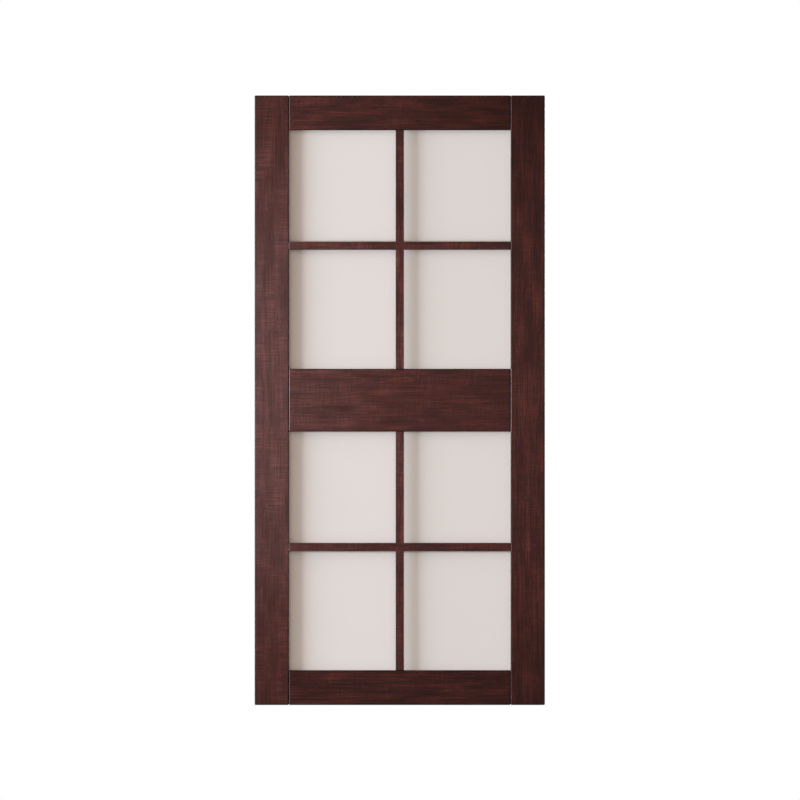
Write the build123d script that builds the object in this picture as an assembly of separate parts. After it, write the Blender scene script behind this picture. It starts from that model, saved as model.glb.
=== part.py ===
from build123d import *
import os

# Glass panel barn door: one hanging leaf of two stiles and three rails, with a sheet of frosted
# glass in each of its two openings and a grid of slim bars over both faces of each sheet.
# Millimetres. X runs across the door, Y from the front face to the back, Z up.
# The origin is the middle of the top edge, so the leaf hangs down from Z = 0.

# Leaf
door_width = 1016.0
door_height = 2133.6
door_thickness = 35.0
stile_width = 120.0
top_rail_height = 122.0
lock_rail_height = 219.6
lock_rail_drop = 1066.8  # from the top edge to the middle of the lock rail
bottom_rail_height = 122.0
board_ease = 4.0  # radius that softens every arris of the boards

# Groove around the openings, and the tongues of the rails in it
groove_width = 8.0
groove_depth = 12.0
tongue_side_gap = 0.2
tongue_end_gap = 1.0

# Glass in its gasket
glass_thickness = 4.0
gasket_end_gap = 1.0  # between the gasket and the bottom of the groove
gasket_floor = 2.0  # rubber between the edge of the glass and that gap

# Slim bars
bar_width = 29.0
bar_thickness = 4.0
bar_lap = 2.0  # how much of the thickness the lying bar keeps where two bars cross
bar_ease = 1.2
upper_lite_height = 389.5  # from the top of an opening down to its lying bar
bar_tenon_length = 9.0
bar_tenon_thickness = 2.0
bar_tenon_shoulder = 4.0  # from each edge of the bar to its tenon
bar_tenon_gap = 0.2
bar_tenon_end_gap = 1.0

# Groove in the bottom edge for a floor guide
guide_width = 8.0
guide_depth = 16.0

half_width = door_width / 2
half_thickness = door_thickness / 2
opening_half_width = half_width - stile_width
lock_rail_top = -lock_rail_drop + lock_rail_height / 2
lock_rail_bottom = -lock_rail_drop - lock_rail_height / 2
bottom_rail_top = -door_height + bottom_rail_height

# Each opening runs from its top to its bottom
openings = {
    "upper": (-top_rail_height, lock_rail_top),
    "lower": (lock_rail_bottom, bottom_rail_top),
}
faces = {"front": -1, "back": 1}


def block(x_span, y_span, z_span):
    """A plain block between two X, two Y and two Z values."""
    spans = (x_span, y_span, z_span)
    centre = [(low + high) / 2 for low, high in spans]
    size = [abs(high - low) for low, high in spans]
    return Pos(*centre) * Box(*size)


def board(x_span, z_span):
    """A board through the whole thickness, with every arris softened."""
    plain = block(x_span, (-half_thickness, half_thickness), z_span)
    return fillet(plain.edges(), board_ease)


def centred(width):
    """The Y span of something centred in the door's thickness."""
    return (-width / 2, width / 2)


def bar_drop_span(opening):
    """The Z span of the lying bar of an opening."""
    top = openings[opening][0] - upper_lite_height
    return (top - bar_width, top)


def bar_tenon_y_span(side, gap):
    """The Y span of a bar's tenon, at the bar's inner side and grown by the gap."""
    inner = half_thickness - bar_thickness
    span = (side * (inner - gap), side * (inner + bar_tenon_thickness + gap))
    return (min(span), max(span))


def bar_tenons(opening, side, gap, end_gap):
    """The four tenons at the ends of one pair of crossed bars, or the mortises for them."""
    y_span = bar_tenon_y_span(side, gap)
    shoulder = bar_tenon_shoulder - gap
    reach = bar_tenon_length + end_gap
    low, high = bar_drop_span(opening)
    z_span = (low + shoulder, high - shoulder)
    x_span = centred(bar_width - 2 * shoulder)
    top, bottom = openings[opening]
    edge = opening_half_width
    return {
        "left": block((-edge - reach, -edge), y_span, z_span),
        "right": block((edge, edge + reach), y_span, z_span),
        "top": block(x_span, y_span, (top, top + reach)),
        "bottom": block(x_span, y_span, (bottom - reach, bottom)),
    }


def bar_mortises(*places):
    """The mortises of both faces for the given (opening, end) places."""
    return [
        bar_tenons(opening, side, bar_tenon_gap, bar_tenon_end_gap)[end]
        for opening, end in places
        for side in faces.values()
    ]


def guide_groove():
    """The groove for a floor guide, along the whole bottom edge."""
    return block((-half_width, half_width), centred(guide_width), (-door_height, guide_depth - door_height))


def stile(name, side):
    """An upright board, grooved along its inner edge; side is -1 on the left and 1 on the right."""
    inner = side * opening_half_width
    upright = board((inner, side * half_width), (-door_height, 0))
    groove = block((inner, inner + side * groove_depth), centred(groove_width), (-door_height, 0))
    mortises = bar_mortises(("upper", name), ("lower", name))
    return upright - [groove, guide_groove(), *mortises]


def rail(bottom, top, glass_above, glass_below):
    """A lying board with a tongue at each end and a groove along each edge that holds glass."""
    lying = board((-opening_half_width, opening_half_width), (bottom, top))
    tongue_reach = opening_half_width + groove_depth - tongue_end_gap
    tongue_y_span = centred(groove_width - 2 * tongue_side_gap)
    lying += block((-tongue_reach, tongue_reach), tongue_y_span, (bottom + board_ease, top - board_ease))
    if glass_above:
        lying -= block((-tongue_reach, tongue_reach), centred(groove_width), (top - groove_depth, top))
    if glass_below:
        lying -= block((-tongue_reach, tongue_reach), centred(groove_width), (bottom, bottom + groove_depth))
    return lying


def top_rail():
    """The rail that hangs from the track, with glass below it."""
    return rail(-top_rail_height, 0, False, True) - bar_mortises(("upper", "top"))


def lock_rail():
    """The wide rail at mid height, with glass above and below it."""
    mortises = bar_mortises(("upper", "bottom"), ("lower", "top"))
    return rail(lock_rail_bottom, lock_rail_top, True, True) - mortises


def bottom_rail():
    """The rail at the floor, with glass above it and the guide groove below."""
    grooved = rail(-door_height, bottom_rail_top, True, False) - guide_groove()
    return grooved - bar_mortises(("lower", "bottom"))


def sheet_reach():
    """How far the gasket runs into the groove."""
    return groove_depth - gasket_end_gap


def glass(opening):
    """One sheet of glass, with its edges in the gasket."""
    top, bottom = openings[opening]
    reach = sheet_reach() - gasket_floor
    edge = opening_half_width + reach
    return block((-edge, edge), centred(glass_thickness), (bottom - reach, top + reach))


def gasket_strips(opening):
    """Four channel strips around the sheet, mitred where they meet in the corners."""
    top, bottom = openings[opening]
    reach = sheet_reach()
    inner_x, outer_x = opening_half_width, opening_half_width + reach
    outer_top, outer_bottom = top + reach, bottom - reach
    outlines = {
        "top": [(-outer_x, outer_top), (outer_x, outer_top), (inner_x, top), (-inner_x, top)],
        "right": [(outer_x, outer_top), (outer_x, outer_bottom), (inner_x, bottom), (inner_x, top)],
        "bottom": [(outer_x, outer_bottom), (-outer_x, outer_bottom), (-inner_x, bottom), (inner_x, bottom)],
        "left": [(-outer_x, outer_bottom), (-outer_x, outer_top), (-inner_x, top), (-inner_x, bottom)],
    }
    sheet = glass(opening)
    strips = {}
    for end, corners in outlines.items():
        outline = Plane.XZ * make_face(Polyline(*corners, close=True))
        strips[end] = extrude(outline, groove_width / 2, both=True) - sheet
    return strips


def crossed_bars(opening, side):
    """A lying and a standing bar, flush where they cross, each halved into the other."""
    outer = side * half_thickness
    y_span = (outer, outer - side * bar_thickness)
    edge = opening_half_width
    top, bottom = openings[opening]
    lying = block((-edge, edge), y_span, bar_drop_span(opening))
    standing = block(centred(bar_width), y_span, (bottom, top))
    cross = lying + standing
    outer_face = cross.faces().sort_by(Axis.Y)[-1 if side > 0 else 0]
    cross = fillet(outer_face.edges(), bar_ease)
    halving_y_span = (outer - side * bar_lap, outer - side * bar_thickness)
    halving = block(centred(bar_width), halving_y_span, bar_drop_span(opening))
    lying_bar = (cross & lying) - halving
    standing_bar = cross - lying_bar
    tenons = bar_tenons(opening, side, 0, 0)
    lying_bar += [tenons["left"], tenons["right"]]
    standing_bar += [tenons["top"], tenons["bottom"]]
    return lying_bar, standing_bar


def save(shape, node):
    """Write one piece to its own file."""
    export_step(shape, f"parts/{node}.step")


os.makedirs("parts", exist_ok=True)
save(stile("left", -1), "left_stile")
save(stile("right", 1), "right_stile")
save(top_rail(), "top_rail")
save(lock_rail(), "lock_rail")
save(bottom_rail(), "bottom_rail")
for opening in openings:
    save(glass(opening), f"{opening}_glass")
    for end, strip in gasket_strips(opening).items():
        save(strip, f"{opening}_gasket_{end}")
    for face, side in faces.items():
        lying_bar, standing_bar = crossed_bars(opening, side)
        save(lying_bar, f"{face}_{opening}_lying_bar")
        save(standing_bar, f"{face}_{opening}_standing_bar")
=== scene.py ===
from math import radians
from typing import NamedTuple

import bmesh
import bpy
from bpy.props import FloatProperty, FloatVectorProperty, PointerProperty
from bpy.types import Operator, Panel, PropertyGroup
from mathutils import Euler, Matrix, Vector


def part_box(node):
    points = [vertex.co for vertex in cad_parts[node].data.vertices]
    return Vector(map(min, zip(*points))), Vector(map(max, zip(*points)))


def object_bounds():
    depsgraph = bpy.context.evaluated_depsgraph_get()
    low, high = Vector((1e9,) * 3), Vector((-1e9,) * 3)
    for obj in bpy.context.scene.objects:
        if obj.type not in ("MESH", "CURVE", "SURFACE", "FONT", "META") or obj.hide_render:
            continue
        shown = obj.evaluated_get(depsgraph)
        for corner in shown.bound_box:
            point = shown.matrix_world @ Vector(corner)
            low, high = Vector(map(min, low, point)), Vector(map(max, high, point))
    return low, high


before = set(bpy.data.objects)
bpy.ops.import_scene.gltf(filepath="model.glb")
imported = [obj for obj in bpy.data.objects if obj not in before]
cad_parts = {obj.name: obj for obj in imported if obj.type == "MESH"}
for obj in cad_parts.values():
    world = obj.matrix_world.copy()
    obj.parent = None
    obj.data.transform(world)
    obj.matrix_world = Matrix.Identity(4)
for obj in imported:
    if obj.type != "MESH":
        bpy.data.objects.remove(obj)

CAD_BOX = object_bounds()

bl_info = {
    "name": "Glass panel barn door",
    "version": (1, 0, 0),
    "blender": (4, 5, 0),
    "location": "3D View > Sidebar > Barn door",
    "description": "Stained wood, frosted glass and a plain studio for a glass panel barn door",
    "category": "Object",
}

MM = 0.001
MM_PER_M = 1000.0
WHITE = (1.0, 1.0, 1.0, 1.0)
ONES = (1.0, 1.0, 1.0)
# Places of the sockets that share a name on the Mix node
MIX_FACTOR, MIX_A, MIX_B, MIX_RESULT = 0, 6, 7, 2
HALFWAY = 0.5  # along a pattern or a tone, which run from 0 to 1

# Rings, which wander as the tree bent
WANDER_ACROSS = 90.0 * MM
WANDER_ALONG = 520.0 * MM
WANDER_REACH = 60.0  # mm

# Patches where the stain took more or less
CLOUD_STRETCH = 3.0  # their length over their width
CLOUD_TONE = 0.3  # how far they shift the tone

# How strongly each pattern lightens or darkens a board whose figure is 1
FIGURE_STRENGTHS = {"season": 0.08, "cloud": 0.7, "streak": 1.1, "grain": 1.3, "pore": 0.9}
FIGURE_FLOOR = -0.35  # the figure darkens no further than this
FIGURE_FLOOR_BLEND = 0.5  # how softly it gets there

# Planer ripple, which shows only where a patch is light
RIPPLE_ACROSS = 60.0 * MM
CURL_FROM, CURL_TO = 0.35, 0.65

# Thin veins at the end of each ring, in patches
VEIN_FROM, VEIN_TO = 0.78, 0.95
VEIN_PATCH_WIDTH = 24.0 * MM
VEIN_PATCH_LENGTH = 190.0 * MM
VEIN_PATCH_FROM, VEIN_PATCH_TO = 0.46, 0.66

# An arris shows by the sum of its normal's three lengths, which is 1 on a flat face
ARRIS_FROM, ARRIS_TO = 1.03, 1.2
# Only arrises that face left carry the painted highlight
LEFTWARD_GAIN = 1.5  # an arris counts as left where two thirds of its normal point there

GRAIN_IN_RELIEF = 0.5  # height of the grain beside that of the pores
SATIN_SPREAD = (-0.06, 0.10)  # roughness at the smoothest and the roughest spot, from the mean

# Noise seeds, which keep boards, faces and patterns apart
BOARD_SEED_STEP = 7.0
FACE_SEEDS = {"front": 50.0, "back": 90.0}
CLOUD_SEED, STREAK_SEED, GRAIN_SEED, PORE_SEED = 8.3, 2.3, 3.1, 5.7
RIPPLE_SEED, VEIN_SEED = 11.9, 15.3

GLASS_IOR = 1.52
GLASS_PATCHES_PER_M = 7.0
GLASS_PATCH_SHADE = 0.985  # the darkest patch beside the tint
GLASS_ROUGHNESS_SPREAD = 0.05
GASKET_DARK, GASKET_LIGHT = 0.8, 1.2  # shades of its grain beside its colour

FLOOR_GLOW = 0.7  # what lifts the floor to white for the eye
# Where the room's light changes, by the direction's X, Y or Z, from -1 to 1
WINDOW_EDGE = (-0.35, -0.05)
SILL_EDGE = (-0.3, 0.7)
SILL_LIGHT = (0.1, 1.5)  # how much of it comes from below the sill and from above
FACING_EDGE = (0.6, 1.0)
WARM_EDGE = (-0.9, -0.2)

# From the middle of the door to the middle of the photograph, about a quarter of a pixel
CAMERA_SHIFT = Vector((0.0009, 0.0, 0.0008))


class Board(NamedTuple):
    """How a board was cut, how it took its stain, and how much painted sheen its tone holds."""
    upright: bool  # whether its grain stands
    tone: float  # of its middle, from 0, dark, to 1, light
    belly: float  # how much lighter its middle is than its ends
    drift: float  # how much lighter its top or left end is than its middle
    figure: float  # how strong its figure is
    ripple: float  # how strong the planer's ripple is
    pith_across: float  # mm from the middle of the tree to its own middle, across its width
    pith_behind: float  # mm from the middle of the tree to its own middle, front to back
    sanded: float  # how strong the painted highlight on its left-hand arris is


# Tones partly painted: the lighter, greyer left stile and the lighter left ends of the rails stand in for
# sheen of the light from the left; the rest is the stain's own tone
BOARDS = {
    "left_stile": Board(True, 0.80, 0.45, 0.05, 1.05, 2.8, 190.0, 60.0, 0.0),
    "right_stile": Board(True, 0.33, 0.31, -0.04, 2.0, 2.2, -230.0, 90.0, 1.0),
    "top_rail": Board(False, 0.205, 0.0, 0.21, 2.15, 1.9, 120.0, 70.0, 0.35),
    "lock_rail": Board(False, 0.48, 0.0, 0.20, 1.45, 1.8, -70.0, 60.0, 1.0),
    "bottom_rail": Board(False, 0.145, 0.0, 0.06, 2.6, 2.1, -140.0, 60.0, 0.2),
}
BARS = {
    "upper_lying_bar": Board(False, 0.49, 0.0, 0.16, 2.2, 3.6, 90.0, 60.0, 1.0),
    "upper_standing_bar": Board(True, 0.49, 0.0, -0.12, 2.2, 3.6, 120.0, 40.0, 0.7),
    "lower_lying_bar": Board(False, 0.48, 0.0, 0.14, 2.2, 3.6, -80.0, 50.0, 0.9),
    "lower_standing_bar": Board(True, 0.49, 0.0, 0.13, 2.2, 3.6, -110.0, 60.0, 0.7),
}
# What meets the stiles, where a stile's left-hand arris carries the painted highlight
CROSSPIECES = {
    "top_rail": BOARDS["top_rail"],
    "lock_rail": BOARDS["lock_rail"],
    "bottom_rail": BOARDS["bottom_rail"],
    "front_upper_lying_bar": BARS["upper_lying_bar"],
    "front_lower_lying_bar": BARS["lower_lying_bar"],
}


class Lamp(NamedTuple):
    """A rectangular soft lamp, with its place from the middle of the door, in metres."""
    place: tuple
    width: float
    height: float
    power: str  # the stage's properties that hold its power and its colour
    colour: str


LAMPS = {
    "side_lamp": Lamp((-14.0, -2.55, 0.15), 3.9, 1.26, "key_power", "day_colour"),
    "high_lamp": Lamp((-3.2, -0.8, 1.9), 1.2, 0.8, "high_power", "lamp_colour"),
    "front_lamp": Lamp((-0.5, -7.0, 0.6), 1.6, 1.6, "fill_power", "room_colour"),
    "back_lamp": Lamp((2.0, 6.0, 1.0), 2.4, 2.4, "back_power", "lamp_colour"),
}


def linear(code):
    """An sRGB hex colour such as 4E312F as linear red, green and blue."""
    channels = [int(code[i:i + 2], 16) / 255 for i in (0, 2, 4)]
    return tuple(c / 12.92 if c <= 0.04045 else ((c + 0.055) / 1.055) ** 2.4 for c in channels)


def add(tree, kind, inputs=None, **settings):
    """Adds one node with its settings. Each input is linked to a socket, or to the first output of a
    node, or else gets a plain value."""
    node = tree.nodes.new(kind)
    for name, value in settings.items():
        setattr(node, name, value)
    for key, value in (inputs or {}).items():
        if isinstance(value, bpy.types.Node):
            value = value.outputs[0]
        if isinstance(value, bpy.types.NodeSocket):
            tree.links.new(value, node.inputs[key])
        else:
            node.inputs[key].default_value = value
    return node


def new_material(name):
    """An empty node material and its tree."""
    material = bpy.data.materials.new(name)
    material.use_nodes = True
    material.node_tree.nodes.clear()
    return material, material.node_tree


def dress(node_name, material):
    """Gives a piece of the frame its finish."""
    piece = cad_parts[node_name]
    for slot in piece.material_slots:
        slot.material = material


class WoodLook(PropertyGroup):
    """Espresso-stained rubberwood under a satin lacquer."""
    dark: FloatVectorProperty(
        name="Dark stain", description="Where the wood took most stain",
        subtype="COLOR", size=3, min=0.0, max=1.0, default=linear("2E100B"))
    middle: FloatVectorProperty(
        name="Middle stain", description="Stain over most of the face",
        subtype="COLOR", size=3, min=0.0, max=1.0, default=linear("4C2A27"))
    # Partly painted sheen: greyer than the stain alone, so that the lightest boards look glossed
    light: FloatVectorProperty(
        name="Light stain", description="Where the wood took least stain",
        subtype="COLOR", size=3, min=0.0, max=1.0, default=linear("6E4E4C"))
    figure: FloatVectorProperty(
        name="Figure", description="How much the figure lightens or darkens red, green and blue",
        size=3, min=0.0, default=(1.0, 0.66, 0.58))
    vein: FloatVectorProperty(
        name="Vein", description="How much the thin veins of early wood lighten red, green and blue",
        size=3, min=0.0, default=(0.75, 0.50, 0.35))
    ring_width: FloatProperty(
        name="Ring width", description="Thickness of one year's growth",
        unit="LENGTH", min=0.0005, default=7.0 * MM)
    grain_width: FloatProperty(
        name="Grain width", description="Width of the fine lines along the grain, coarse enough to show",
        unit="LENGTH", min=0.0005, default=3.2 * MM)
    grain_length: FloatProperty(
        name="Grain length", description="Length of those lines",
        unit="LENGTH", min=0.005, default=110.0 * MM)
    streak_width: FloatProperty(
        name="Streak width", description="Width of the soft streaks that the stain leaves along the grain",
        unit="LENGTH", min=0.0005, default=11.0 * MM)
    streak_length: FloatProperty(
        name="Streak length", description="Length of those streaks",
        unit="LENGTH", min=0.005, default=210.0 * MM)
    pore_width: FloatProperty(
        name="Pore width", description="Width of the open pores, drawn coarser than real so that they show",
        unit="LENGTH", min=0.0001, default=1.5 * MM)
    pore_length: FloatProperty(
        name="Pore length", description="Length of the open pores",
        unit="LENGTH", min=0.001, default=20.0 * MM)
    ripple: FloatProperty(
        name="Ripple", description="Spacing of the faint marks across the grain that the planer leaves",
        unit="LENGTH", min=0.001, default=5.5 * MM)
    cloud: FloatProperty(
        name="Cloud", description="Width of the patches where the stain took more or less",
        unit="LENGTH", min=0.005, default=35.0 * MM)
    relief: FloatProperty(
        name="Relief", description="Height of the grain that is felt through the lacquer",
        unit="LENGTH", min=0.0, default=0.1 * MM)
    roughness: FloatProperty(
        name="Roughness", description="Satin lacquer, rolled on",
        subtype="FACTOR", min=0.0, max=1.0, default=0.34)
    gloss: FloatProperty(
        name="Gloss", description="How much light the lacquer throws back from a face",
        subtype="FACTOR", min=0.0, max=1.0, default=0.09)
    # Painted highlight: a pale colour on the left-hand arrises, standing in for the glint of the light from
    # the left
    painted_highlight: FloatVectorProperty(
        name="Rubbed stain", description="Left-hand arrises, where sanding the joints took off stain",
        subtype="COLOR", size=3, min=0.0, max=1.0, default=linear("846C6A"))
    # Partly painted shade: the arrises darker, as in the shaded grooves between boards and on edges turned
    # from the light, and partly stain gathered there
    stain_and_shade: FloatProperty(
        name="Gathering", description="How much darker the stain is where it gathers on the arrises",
        subtype="FACTOR", min=0.0, max=1.0, default=0.6)


class GlassLook(PropertyGroup):
    """Sheet glass etched with acid on both faces."""
    tint: FloatVectorProperty(
        name="Tint", description="Warm white of the etched faces",
        subtype="COLOR", size=3, min=0.0, max=1.0, default=linear("F0EAE5"))
    grain: FloatProperty(
        name="Etch grain", description="Size of the etched grain, drawn coarser than real so that it shows",
        unit="LENGTH", min=0.0001, default=1.6 * MM)
    relief: FloatProperty(
        name="Relief", description="Depth of the etched grain",
        unit="LENGTH", min=0.0, default=0.008 * MM)
    roughness: FloatProperty(
        name="Roughness", description="Etched, with no mirror image left",
        subtype="FACTOR", min=0.0, max=1.0, default=0.55)


class GasketLook(PropertyGroup):
    """Extruded rubber channel."""
    colour: FloatVectorProperty(
        name="Colour", description="Dark brown rubber",
        subtype="COLOR", size=3, min=0.0, max=1.0, default=linear("2A1C19"))
    grain: FloatProperty(
        name="Grain", description="Size of the matt grain that the die leaves",
        unit="LENGTH", min=0.0001, default=1.0 * MM)
    roughness: FloatProperty(
        name="Roughness", description="Dull, as it leaves the die",
        subtype="FACTOR", min=0.0, max=1.0, default=0.75)
    gloss: FloatProperty(
        name="Gloss", description="How much light the rubber throws back from a face",
        subtype="FACTOR", min=0.0, max=1.0, default=0.3)


class StageLook(PropertyGroup):
    """Floor, lamps and camera of a plain studio."""
    floor_gap: FloatProperty(
        name="Gap over the floor", description="From the floor up to the bottom edge of the hanging door",
        unit="LENGTH", min=0.0, default=12.0 * MM)
    floor_size: FloatProperty(
        name="Floor size", description="Side of the square floor",
        unit="LENGTH", min=1.0, default=12.0)
    floor_colour: FloatVectorProperty(
        name="Floor colour", description="Pale floor",
        subtype="COLOR", size=3, min=0.0, max=1.0, default=linear("C8C6C4"))
    floor_bounce: FloatProperty(
        name="Floor bounce", description="Share of its light that the floor throws up at the door",
        subtype="FACTOR", min=0.0, max=1.0, default=0.6)
    ambient: FloatProperty(
        name="Room light", description="Light that comes from all round",
        min=0.0, default=0.17)
    window_light: FloatProperty(
        name="Window light", description="Light that comes from the left half of the room",
        min=0.0, default=0.84)
    facing_light: FloatProperty(
        name="Facing light", description="Light from above the floor that comes at the front and the back",
        min=0.0, default=0.25)
    window_colour: FloatVectorProperty(
        name="Window colour", description="Light that comes straight from the left",
        subtype="COLOR", size=3, min=0.0, max=1.0, default=linear("F6F9FE"))
    room_colour: FloatVectorProperty(
        name="Room colour", description="Warm light of the front lamp and of the rest of the room",
        subtype="COLOR", size=3, min=0.0, max=1.0, default=linear("FFE6D0"))
    day_colour: FloatVectorProperty(
        name="Day colour", description="Cool light of the side lamp",
        subtype="COLOR", size=3, min=0.0, max=1.0, default=linear("E4EFFB"))
    lamp_colour: FloatVectorProperty(
        name="Lamp colour", description="White light of the high lamp and the back lamp",
        subtype="COLOR", size=3, min=0.0, max=1.0, default=linear("FFFFFF"))
    key_power: FloatProperty(
        name="Side lamp", description="Power of the wide soft lamp that rakes across the face from the left",
        unit="POWER", min=0.0, default=4900.0)
    fill_power: FloatProperty(
        name="Front lamp", description="Power of the soft lamp in front of the door",
        unit="POWER", min=0.0, default=20.0)
    high_power: FloatProperty(
        name="High lamp", description="Power of the soft lamp high on the left",
        unit="POWER", min=0.0, default=40.0)
    back_power: FloatProperty(
        name="Back lamp", description="Power of the wide soft lamp behind the door",
        unit="POWER", min=0.0, default=200.0)
    frame_width: FloatProperty(
        name="Frame width", description="Width of the photograph's frame at the door, seen from far off",
        unit="LENGTH", min=0.1, default=2.8)
    camera_distance: FloatProperty(
        name="Camera distance", description="From the camera to the middle of the door",
        unit="LENGTH", min=0.1, default=6.0)


def grain_space(tree, coords, node_name, board):
    """Object coordinates in mm, with the grain along Z and the middle of the tree on the Z axis."""
    low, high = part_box(node_name)
    centre = (Vector(low) + Vector(high)) / 2 * MM_PER_M
    turn = Euler((0, 0, 0)) if board.upright else Euler((0, radians(90), 0))
    place = -(turn.to_matrix() @ centre) + Vector((board.pith_across, board.pith_behind, 0))
    return add(tree, "ShaderNodeMapping", {
        "Vector": coords.outputs["Object"], "Location": place, "Rotation": turn,
        "Scale": (MM_PER_M,) * 3})


def stretched_noise(tree, space, across, along, seed, detail=3.0, output="Fac"):
    """Noise whose grains have these sizes across the grain and along it."""
    stretch = tuple(1 / (size * MM_PER_M) for size in (across, across, along))
    scaled = add(tree, "ShaderNodeVectorMath", {0: space, 1: stretch}, operation="MULTIPLY")
    noise = add(tree, "ShaderNodeTexNoise", {
        "Vector": scaled, "W": seed, "Scale": 1.0, "Detail": detail}, noise_dimensions="4D")
    return noise.outputs[output]


def growth_rings(tree, space, seed, look):
    """The season, from 0 to 1 across each year's growth."""
    # The trunk's own space is warped before its rings are cut
    wander = stretched_noise(tree, space, WANDER_ACROSS, WANDER_ALONG, seed, output="Color")
    wander = add(tree, "ShaderNodeVectorMath", {0: wander, 1: (-HALFWAY,) * 3}, operation="ADD")
    wander = add(tree, "ShaderNodeVectorMath", {0: wander, 1: (WANDER_REACH, WANDER_REACH, 0.0)},
                 operation="MULTIPLY")
    bent = add(tree, "ShaderNodeVectorMath", {0: space, 1: wander}, operation="ADD")
    flat = add(tree, "ShaderNodeVectorMath", {0: bent, 1: (1.0, 1.0, 0.0)}, operation="MULTIPLY")
    radius = add(tree, "ShaderNodeVectorMath", {0: flat}, operation="LENGTH").outputs["Value"]
    years = add(tree, "ShaderNodeMath", {0: radius, 1: look.ring_width * MM_PER_M}, operation="DIVIDE")
    return add(tree, "ShaderNodeMath", {0: years}, operation="FRACT")


def stain_and_sheen_along(tree, space, node_name, board, cloud, look):
    """The stain's colour, whose tone runs along the board with its drift and belly; the lighter left ends of
    the rails and bars are painted sheen of the light from the left.
    """
    along = add(tree, "ShaderNodeSeparateXYZ", {"Vector": space}).outputs["Z"]
    low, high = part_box(node_name)
    half_length = (high[2] - low[2] if board.upright else high[0] - low[0]) / 2 * MM_PER_M
    share = add(tree, "ShaderNodeMath", {0: along, 1: half_length}, operation="DIVIDE")
    square = add(tree, "ShaderNodeMath", {0: share, 1: share}, operation="MULTIPLY")
    patchy = add(tree, "ShaderNodeMath", {0: cloud, 1: HALFWAY}, operation="SUBTRACT")
    tone = add(tree, "ShaderNodeMath", {0: share, 1: board.drift, 2: board.tone}, operation="MULTIPLY_ADD")
    tone = add(tree, "ShaderNodeMath", {0: square, 1: -board.belly, 2: tone}, operation="MULTIPLY_ADD")
    tone = add(tree, "ShaderNodeMath", {0: patchy, 1: CLOUD_TONE, 2: tone}, operation="MULTIPLY_ADD")
    stain = add(tree, "ShaderNodeValToRGB", {"Fac": tone})
    stain.color_ramp.elements.new(HALFWAY)
    for element, shade in zip(stain.color_ramp.elements, (look.dark, look.middle, look.light)):
        element.color = (*shade, 1.0)
    return stain


def figure_of(tree, space, board, seed, patterns, look):
    """What the figure and the veins make of red, green and blue: lighter and redder where the wood is
    open, and darker where it is dense."""
    ripple = stretched_noise(tree, space, RIPPLE_ACROSS, look.ripple, seed + RIPPLE_SEED)
    ripple = add(tree, "ShaderNodeMath", {0: ripple, 1: HALFWAY}, operation="SUBTRACT")
    curl = add(tree, "ShaderNodeMapRange", {
        "Value": patterns["cloud"], "From Min": CURL_FROM, "From Max": CURL_TO})
    figure = add(tree, "ShaderNodeMath", {0: ripple, 1: curl}, operation="MULTIPLY")
    figure = add(tree, "ShaderNodeMath", {0: figure, 1: board.ripple}, operation="MULTIPLY")
    for name, strength in FIGURE_STRENGTHS.items():
        swing = add(tree, "ShaderNodeMath", {0: patterns[name], 1: HALFWAY}, operation="SUBTRACT")
        figure = add(tree, "ShaderNodeMath", {0: swing, 1: strength * board.figure, 2: figure},
                     operation="MULTIPLY_ADD")
    figure = add(tree, "ShaderNodeMath", {0: figure, 1: FIGURE_FLOOR, 2: FIGURE_FLOOR_BLEND},
                 operation="SMOOTH_MAX")

    vein = add(tree, "ShaderNodeMapRange", {
        "Value": patterns["season"], "From Min": VEIN_FROM, "From Max": VEIN_TO})
    patch = stretched_noise(tree, space, VEIN_PATCH_WIDTH, VEIN_PATCH_LENGTH, seed + VEIN_SEED, detail=2.0)
    patch = add(tree, "ShaderNodeMapRange", {
        "Value": patch, "From Min": VEIN_PATCH_FROM, "From Max": VEIN_PATCH_TO})
    vein = add(tree, "ShaderNodeMath", {0: vein, 1: patch}, operation="MULTIPLY")
    lift = add(tree, "ShaderNodeVectorMath", {0: figure, 1: look.figure, 2: ONES},
               operation="MULTIPLY_ADD")
    return add(tree, "ShaderNodeVectorMath", {0: vein, 1: look.vein, 2: lift}, operation="MULTIPLY_ADD")


def highlight_share(tree, node_name, board, height):
    """How strong the painted highlight on a left-hand arris is: all along a rail or bar, and along a stile
    only where something meets it."""
    if not board.sanded or not node_name.endswith("stile"):
        return board.sanded
    share = 0.0
    for name, crosspiece in CROSSPIECES.items():
        low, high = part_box(name)
        meets = add(tree, "ShaderNodeMath", {
            0: height, 1: (low[2] + high[2]) / 2, 2: (high[2] - low[2]) / 2}, operation="COMPARE")
        share = add(tree, "ShaderNodeMath", {
            0: meets, 1: board.sanded * crosspiece.sanded, 2: share}, operation="MULTIPLY_ADD")
    return share


def arrises(tree, coords, node_name, board):
    """1 on the rounded arrises, and how much of that carries the painted highlight."""
    normal = coords.outputs["Normal"]
    lengths = add(tree, "ShaderNodeVectorMath", {0: normal}, operation="ABSOLUTE")
    lengths = add(tree, "ShaderNodeVectorMath", {0: lengths, 1: ONES}, operation="DOT_PRODUCT")
    arris = add(tree, "ShaderNodeMapRange", {
        "Value": lengths.outputs["Value"], "From Min": ARRIS_FROM, "From Max": ARRIS_TO})
    across = add(tree, "ShaderNodeSeparateXYZ", {0: normal}).outputs["X"]
    leftward = add(tree, "ShaderNodeMath", {0: across, 1: -LEFTWARD_GAIN}, operation="MULTIPLY",
                   use_clamp=True)
    height = add(tree, "ShaderNodeSeparateXYZ", {0: coords.outputs["Object"]}).outputs["Z"]
    painted_highlight = add(tree, "ShaderNodeMath", {0: arris, 1: leftward}, operation="MULTIPLY")
    painted_highlight = add(tree, "ShaderNodeMath", {
        0: painted_highlight, 1: highlight_share(tree, node_name, board, height)}, operation="MULTIPLY")
    return arris, painted_highlight


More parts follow.
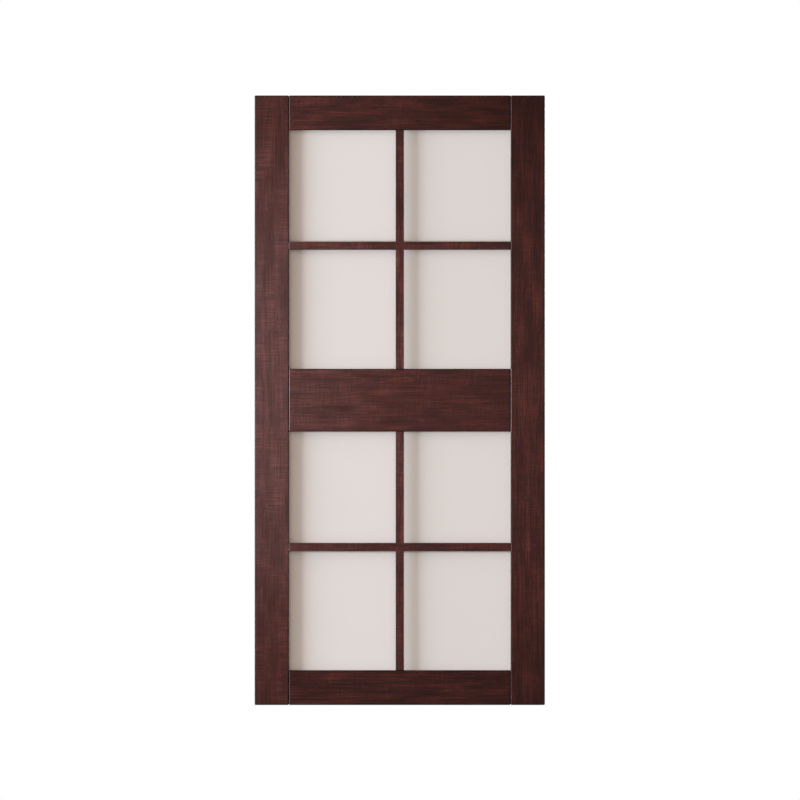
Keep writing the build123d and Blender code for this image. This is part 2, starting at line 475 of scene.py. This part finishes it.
def stained_wood(node_name, board, seed, look):
    """Rubberwood, planed, stained espresso brown and rolled with satin lacquer: a low, even contrast
    with fine streaks along the grain, which the stain leaves redder where the wood is open."""
    material, tree = new_material(f"stained_wood_{node_name}")
    coords = add(tree, "ShaderNodeTexCoord")
    space = grain_space(tree, coords, node_name, board)
    patterns = {
        "season": growth_rings(tree, space, seed, look),
        "cloud": stretched_noise(
            tree, space, look.cloud, look.cloud * CLOUD_STRETCH, seed + CLOUD_SEED),
        "streak": stretched_noise(
            tree, space, look.streak_width, look.streak_length, seed + STREAK_SEED, detail=2.0),
        "grain": stretched_noise(
            tree, space, look.grain_width, look.grain_length, seed + GRAIN_SEED),
        "pore": stretched_noise(
            tree, space, look.pore_width, look.pore_length, seed + PORE_SEED, detail=1.0),
    }
    stain = stain_and_sheen_along(tree, space, node_name, board, patterns["cloud"], look)
    lift = figure_of(tree, space, board, seed, patterns, look)
    colour = add(tree, "ShaderNodeVectorMath", {0: stain, 1: lift}, operation="MULTIPLY")

    # Painted shade darkens the arrises, where stain also gathers, except where the painted highlight
    # lightens them
    arris, painted_highlight = arrises(tree, coords, node_name, board)
    stain_and_shade_mask = add(tree, "ShaderNodeMath", {0: arris, 1: painted_highlight}, operation="SUBTRACT")
    shade = add(tree, "ShaderNodeMath", {0: stain_and_shade_mask, 1: -look.stain_and_shade, 2: 1.0}, operation="MULTIPLY_ADD")
    colour = add(tree, "ShaderNodeVectorMath", {0: colour, "Scale": shade}, operation="SCALE")
    # Painted highlight on the left-hand arrises
    colour = add(tree, "ShaderNodeMix", {
        MIX_FACTOR: painted_highlight, MIX_A: colour, MIX_B: (*look.painted_highlight, 1.0)}, data_type="RGBA")

    relief = add(tree, "ShaderNodeMath", {0: patterns["grain"], 1: GRAIN_IN_RELIEF, 2: patterns["pore"]},
                 operation="MULTIPLY_ADD")
    flatness = add(tree, "ShaderNodeMath", {0: 1.0, 1: arris}, operation="SUBTRACT")
    bump = add(tree, "ShaderNodeBump", {"Height": relief, "Distance": look.relief, "Strength": flatness})
    smoothest, roughest = (look.roughness + spread for spread in SATIN_SPREAD)
    satin = add(tree, "ShaderNodeMapRange", {
        "Value": patterns["pore"], "To Min": smoothest, "To Max": roughest})
    shader = add(tree, "ShaderNodeBsdfPrincipled", {
        "Base Color": colour.outputs[MIX_RESULT], "Roughness": satin, "Normal": bump,
        "Specular IOR Level": look.gloss})
    add(tree, "ShaderNodeOutputMaterial", {"Surface": shader})
    return material


def etched_glass(look):
    """Soda-lime sheet glass, etched with acid on both faces: an even warm white with a soft sheen,
    in which nothing behind it shows."""
    material, tree = new_material("etched_glass")
    coords = add(tree, "ShaderNodeTexCoord")
    space = add(tree, "ShaderNodeMapping", {
        "Vector": coords.outputs["Object"], "Scale": (1 / look.grain,) * 3})
    etch = add(tree, "ShaderNodeTexNoise", {"Vector": space, "Scale": 1.0, "Detail": 2.0})
    patches = add(tree, "ShaderNodeTexNoise", {
        "Vector": coords.outputs["Object"], "Scale": GLASS_PATCHES_PER_M, "Detail": 2.0})
    shade = add(tree, "ShaderNodeMix", {
        MIX_FACTOR: patches, MIX_A: (*[c * GLASS_PATCH_SHADE for c in look.tint], 1.0),
        MIX_B: (*look.tint, 1.0)}, data_type="RGBA")
    bump = add(tree, "ShaderNodeBump", {"Height": etch, "Distance": look.relief, "Strength": 1.0})
    rough = add(tree, "ShaderNodeMapRange", {
        "Value": etch, "To Min": look.roughness - GLASS_ROUGHNESS_SPREAD,
        "To Max": look.roughness + GLASS_ROUGHNESS_SPREAD})
    shader = add(tree, "ShaderNodeBsdfPrincipled", {
        "Base Color": shade.outputs[MIX_RESULT], "Roughness": rough, "Normal": bump, "IOR": GLASS_IOR})
    add(tree, "ShaderNodeOutputMaterial", {"Surface": shader})
    return material


def extruded_rubber(look):
    """EPDM rubber, extruded: dull, nearly black, with a fine matt grain."""
    material, tree = new_material("extruded_rubber")
    coords = add(tree, "ShaderNodeTexCoord")
    space = add(tree, "ShaderNodeMapping", {
        "Vector": coords.outputs["Object"], "Scale": (1 / look.grain,) * 3})
    grain = add(tree, "ShaderNodeTexNoise", {"Vector": space, "Scale": 1.0, "Detail": 2.0})
    shade = add(tree, "ShaderNodeMix", {
        MIX_FACTOR: grain, MIX_A: (*[c * GASKET_DARK for c in look.colour], 1.0),
        MIX_B: (*[c * GASKET_LIGHT for c in look.colour], 1.0)}, data_type="RGBA")
    shader = add(tree, "ShaderNodeBsdfPrincipled", {
        "Base Color": shade.outputs[MIX_RESULT], "Roughness": look.roughness,
        "Specular IOR Level": look.gloss})
    add(tree, "ShaderNodeOutputMaterial", {"Surface": shader})
    return material


class DOOR_OT_finish_boards(Operator):
    """Stain the two stiles and three rails, each with its own cut of the grain"""
    bl_idname = "barn_door.finish_boards"
    bl_label = "Finish the boards"

    def execute(self, context):
        look = context.scene.barn_door_wood
        for number, (name, board) in enumerate(BOARDS.items()):
            dress(name, stained_wood(name, board, number * BOARD_SEED_STEP, look))
        return {"FINISHED"}


class DOOR_OT_finish_bars(Operator):
    """Stain the slim bars on both faces"""
    bl_idname = "barn_door.finish_bars"
    bl_label = "Finish the bars"

    def execute(self, context):
        look = context.scene.barn_door_wood
        for face, face_seed in FACE_SEEDS.items():
            for number, (name, board) in enumerate(BARS.items()):
                node_name = f"{face}_{name}"
                seed = face_seed + number * BOARD_SEED_STEP
                dress(node_name, stained_wood(node_name, board, seed, look))
        return {"FINISHED"}


class DOOR_OT_finish_glass(Operator):
    """Etch both sheets of glass"""
    bl_idname = "barn_door.finish_glass"
    bl_label = "Finish the glass"

    def execute(self, context):
        glass = etched_glass(context.scene.barn_door_glass)
        for name in ("upper_glass", "lower_glass"):
            dress(name, glass)
        return {"FINISHED"}


class DOOR_OT_finish_gaskets(Operator):
    """Give the gasket strips their rubber"""
    bl_idname = "barn_door.finish_gaskets"
    bl_label = "Finish the gaskets"

    def execute(self, context):
        rubber = extruded_rubber(context.scene.barn_door_gasket)
        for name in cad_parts:
            if "_gasket_" in name:
                dress(name, rubber)
        return {"FINISHED"}


def white_to_the_eye(tree):
    """1 for what the camera, a reflection or the glass sees, and 0 for what lights the object."""
    path = add(tree, "ShaderNodeLightPath")
    seen = path.outputs["Is Camera Ray"]
    for way in ("Is Glossy Ray", "Is Transmission Ray"):
        seen = add(tree, "ShaderNodeMath", {0: seen, 1: path.outputs[way]}, operation="ADD",
                   use_clamp=True)
    return seen


def pale_floor(look):
    """Matt paint: pale, and lifted to white for the eye where no shadow falls."""
    material, tree = new_material("pale_floor")
    seen = white_to_the_eye(tree)
    shade = add(tree, "ShaderNodeMix", {
        MIX_FACTOR: seen, MIX_A: (*[c * look.floor_bounce for c in look.floor_colour], 1.0),
        MIX_B: (*look.floor_colour, 1.0)}, data_type="RGBA")
    paint = add(tree, "ShaderNodeBsdfDiffuse", {"Color": shade.outputs[MIX_RESULT]})
    strength = add(tree, "ShaderNodeMath", {0: seen, 1: FLOOR_GLOW}, operation="MULTIPLY")
    glow = add(tree, "ShaderNodeEmission", {"Color": WHITE, "Strength": strength})
    both = add(tree, "ShaderNodeAddShader", {0: paint, 1: glow})
    add(tree, "ShaderNodeOutputMaterial", {"Surface": both})
    return material


def white_room(look):
    """A world that is white to the eye, and that lights the door from a wide window on the left, from
    before and behind it, and a little from all round."""
    world = bpy.data.worlds.new("white_room")
    world.use_nodes = True
    tree = world.node_tree
    tree.nodes.clear()
    coords = add(tree, "ShaderNodeTexCoord")
    direction = add(tree, "ShaderNodeSeparateXYZ", {"Vector": coords.outputs["Generated"]})
    across, behind, up = (direction.outputs[axis] for axis in "XYZ")

    window = add(tree, "ShaderNodeMapRange", {
        "Value": across, "From Min": WINDOW_EDGE[0], "From Max": WINDOW_EDGE[1],
        "To Min": look.window_light, "To Max": look.ambient}, interpolation_type="SMOOTHSTEP")
    sill = add(tree, "ShaderNodeMapRange", {
        "Value": up, "From Min": SILL_EDGE[0], "From Max": SILL_EDGE[1],
        "To Min": SILL_LIGHT[0], "To Max": SILL_LIGHT[1]})
    window = add(tree, "ShaderNodeMath", {0: window, 1: sill}, operation="MULTIPLY")
    facing = add(tree, "ShaderNodeMath", {0: behind}, operation="ABSOLUTE")
    facing = add(tree, "ShaderNodeMapRange", {
        "Value": facing, "From Min": FACING_EDGE[0], "From Max": FACING_EDGE[1],
        "To Min": 0.0, "To Max": look.facing_light})
    above = add(tree, "ShaderNodeMath", {0: up, 1: 0.0}, operation="GREATER_THAN")
    facing = add(tree, "ShaderNodeMath", {0: facing, 1: above}, operation="MULTIPLY")
    strength = add(tree, "ShaderNodeMath", {0: window, 1: facing}, operation="ADD")
    warmth = add(tree, "ShaderNodeMapRange", {
        "Value": across, "From Min": WARM_EDGE[0], "From Max": WARM_EDGE[1]})
    light = add(tree, "ShaderNodeMix", {
        MIX_FACTOR: warmth, MIX_A: (*look.window_colour, 1.0), MIX_B: (*look.room_colour, 1.0)},
        data_type="RGBA")

    seen = white_to_the_eye(tree)
    strength = add(tree, "ShaderNodeMapRange", {"Value": seen, "To Min": strength, "To Max": 1.0})
    room = add(tree, "ShaderNodeMix", {
        MIX_FACTOR: seen, MIX_A: light.outputs[MIX_RESULT], MIX_B: WHITE}, data_type="RGBA")
    background = add(tree, "ShaderNodeBackground", {
        "Color": room.outputs[MIX_RESULT], "Strength": strength})
    add(tree, "ShaderNodeOutputWorld", {"Surface": background})
    return world


def hang_lamp(name, lamp, look, middle, collection):
    """Hangs one soft lamp, which faces the middle of the door."""
    light = bpy.data.lights.new(name, "AREA")
    light.shape = "RECTANGLE"
    light.size = lamp.width
    light.size_y = lamp.height
    light.energy = getattr(look, lamp.power)
    light.color = getattr(look, lamp.colour)
    holder = bpy.data.objects.new(name, light)
    holder.location = middle + Vector(lamp.place)
    holder.rotation_euler = (-Vector(lamp.place)).to_track_quat("-Z", "Y").to_euler()
    collection.objects.link(holder)


class DOOR_OT_build_stage(Operator):
    """Lay the floor, hang the lamps and set the camera straight before the door"""
    bl_idname = "barn_door.build_stage"
    bl_label = "Build the stage"

    def execute(self, context):
        look = context.scene.barn_door_stage
        low, high = (Vector(corner) for corner in CAD_BOX)
        middle = (low + high) / 2

        shape = bmesh.new()
        bmesh.ops.create_grid(shape, x_segments=1, y_segments=1, size=look.floor_size / 2)
        bmesh.ops.translate(shape, verts=shape.verts, vec=(0, 0, low.z - look.floor_gap))
        mesh = bpy.data.meshes.new("floor")
        shape.to_mesh(mesh)
        shape.free()
        floor = bpy.data.objects.new("floor", mesh)
        floor.data.materials.append(pale_floor(look))
        context.collection.objects.link(floor)

        context.scene.world = white_room(look)
        for name, lamp in LAMPS.items():
            hang_lamp(name, lamp, look, middle, context.collection)

        camera = bpy.data.cameras.new("camera")
        camera.type = "ORTHO"
        camera.ortho_scale = look.frame_width
        camera.clip_end = 100.0
        holder = bpy.data.objects.new("camera", camera)
        holder.location = middle + CAMERA_SHIFT - Vector((0, look.camera_distance, 0))
        holder.rotation_euler = (radians(90), 0, 0)
        context.collection.objects.link(holder)
        context.scene.camera = holder
        context.scene.view_settings.view_transform = "Standard"
        return {"FINISHED"}


STEPS = (
    DOOR_OT_finish_boards,
    DOOR_OT_finish_bars,
    DOOR_OT_finish_glass,
    DOOR_OT_finish_gaskets,
    DOOR_OT_build_stage,
)
LOOKS = {
    "barn_door_wood": WoodLook,
    "barn_door_glass": GlassLook,
    "barn_door_gasket": GasketLook,
    "barn_door_stage": StageLook,
}


class DOOR_PT_sidebar(Panel):
    """The door's finishes and stage, with the steps that make them"""
    bl_idname = "DOOR_PT_sidebar"
    bl_label = "Barn door"
    bl_space_type = "VIEW_3D"
    bl_region_type = "UI"
    bl_category = "Barn door"

    def draw(self, context):
        for look_name, look_class in LOOKS.items():
            look = getattr(context.scene, look_name)
            box = self.layout.box()
            box.label(text=look_class.__doc__)
            for name in look_class.__annotations__:
                box.prop(look, name)
        for step in STEPS:
            self.layout.operator(step.bl_idname)


CLASSES = (*LOOKS.values(), *STEPS, DOOR_PT_sidebar)


def register():
    for cls in CLASSES:
        bpy.utils.register_class(cls)
    for name, look_class in LOOKS.items():
        setattr(bpy.types.Scene, name, PointerProperty(type=look_class))


def unregister():
    for name in LOOKS:
        delattr(bpy.types.Scene, name)
    for cls in reversed(CLASSES):
        bpy.utils.unregister_class(cls)


def main():
    """Runs every step in order."""
    register()
    bpy.ops.barn_door.finish_boards()
    bpy.ops.barn_door.finish_bars()
    bpy.ops.barn_door.finish_glass()
    bpy.ops.barn_door.finish_gaskets()
    bpy.ops.barn_door.build_stage()


if __name__ == "__main__":
    main()
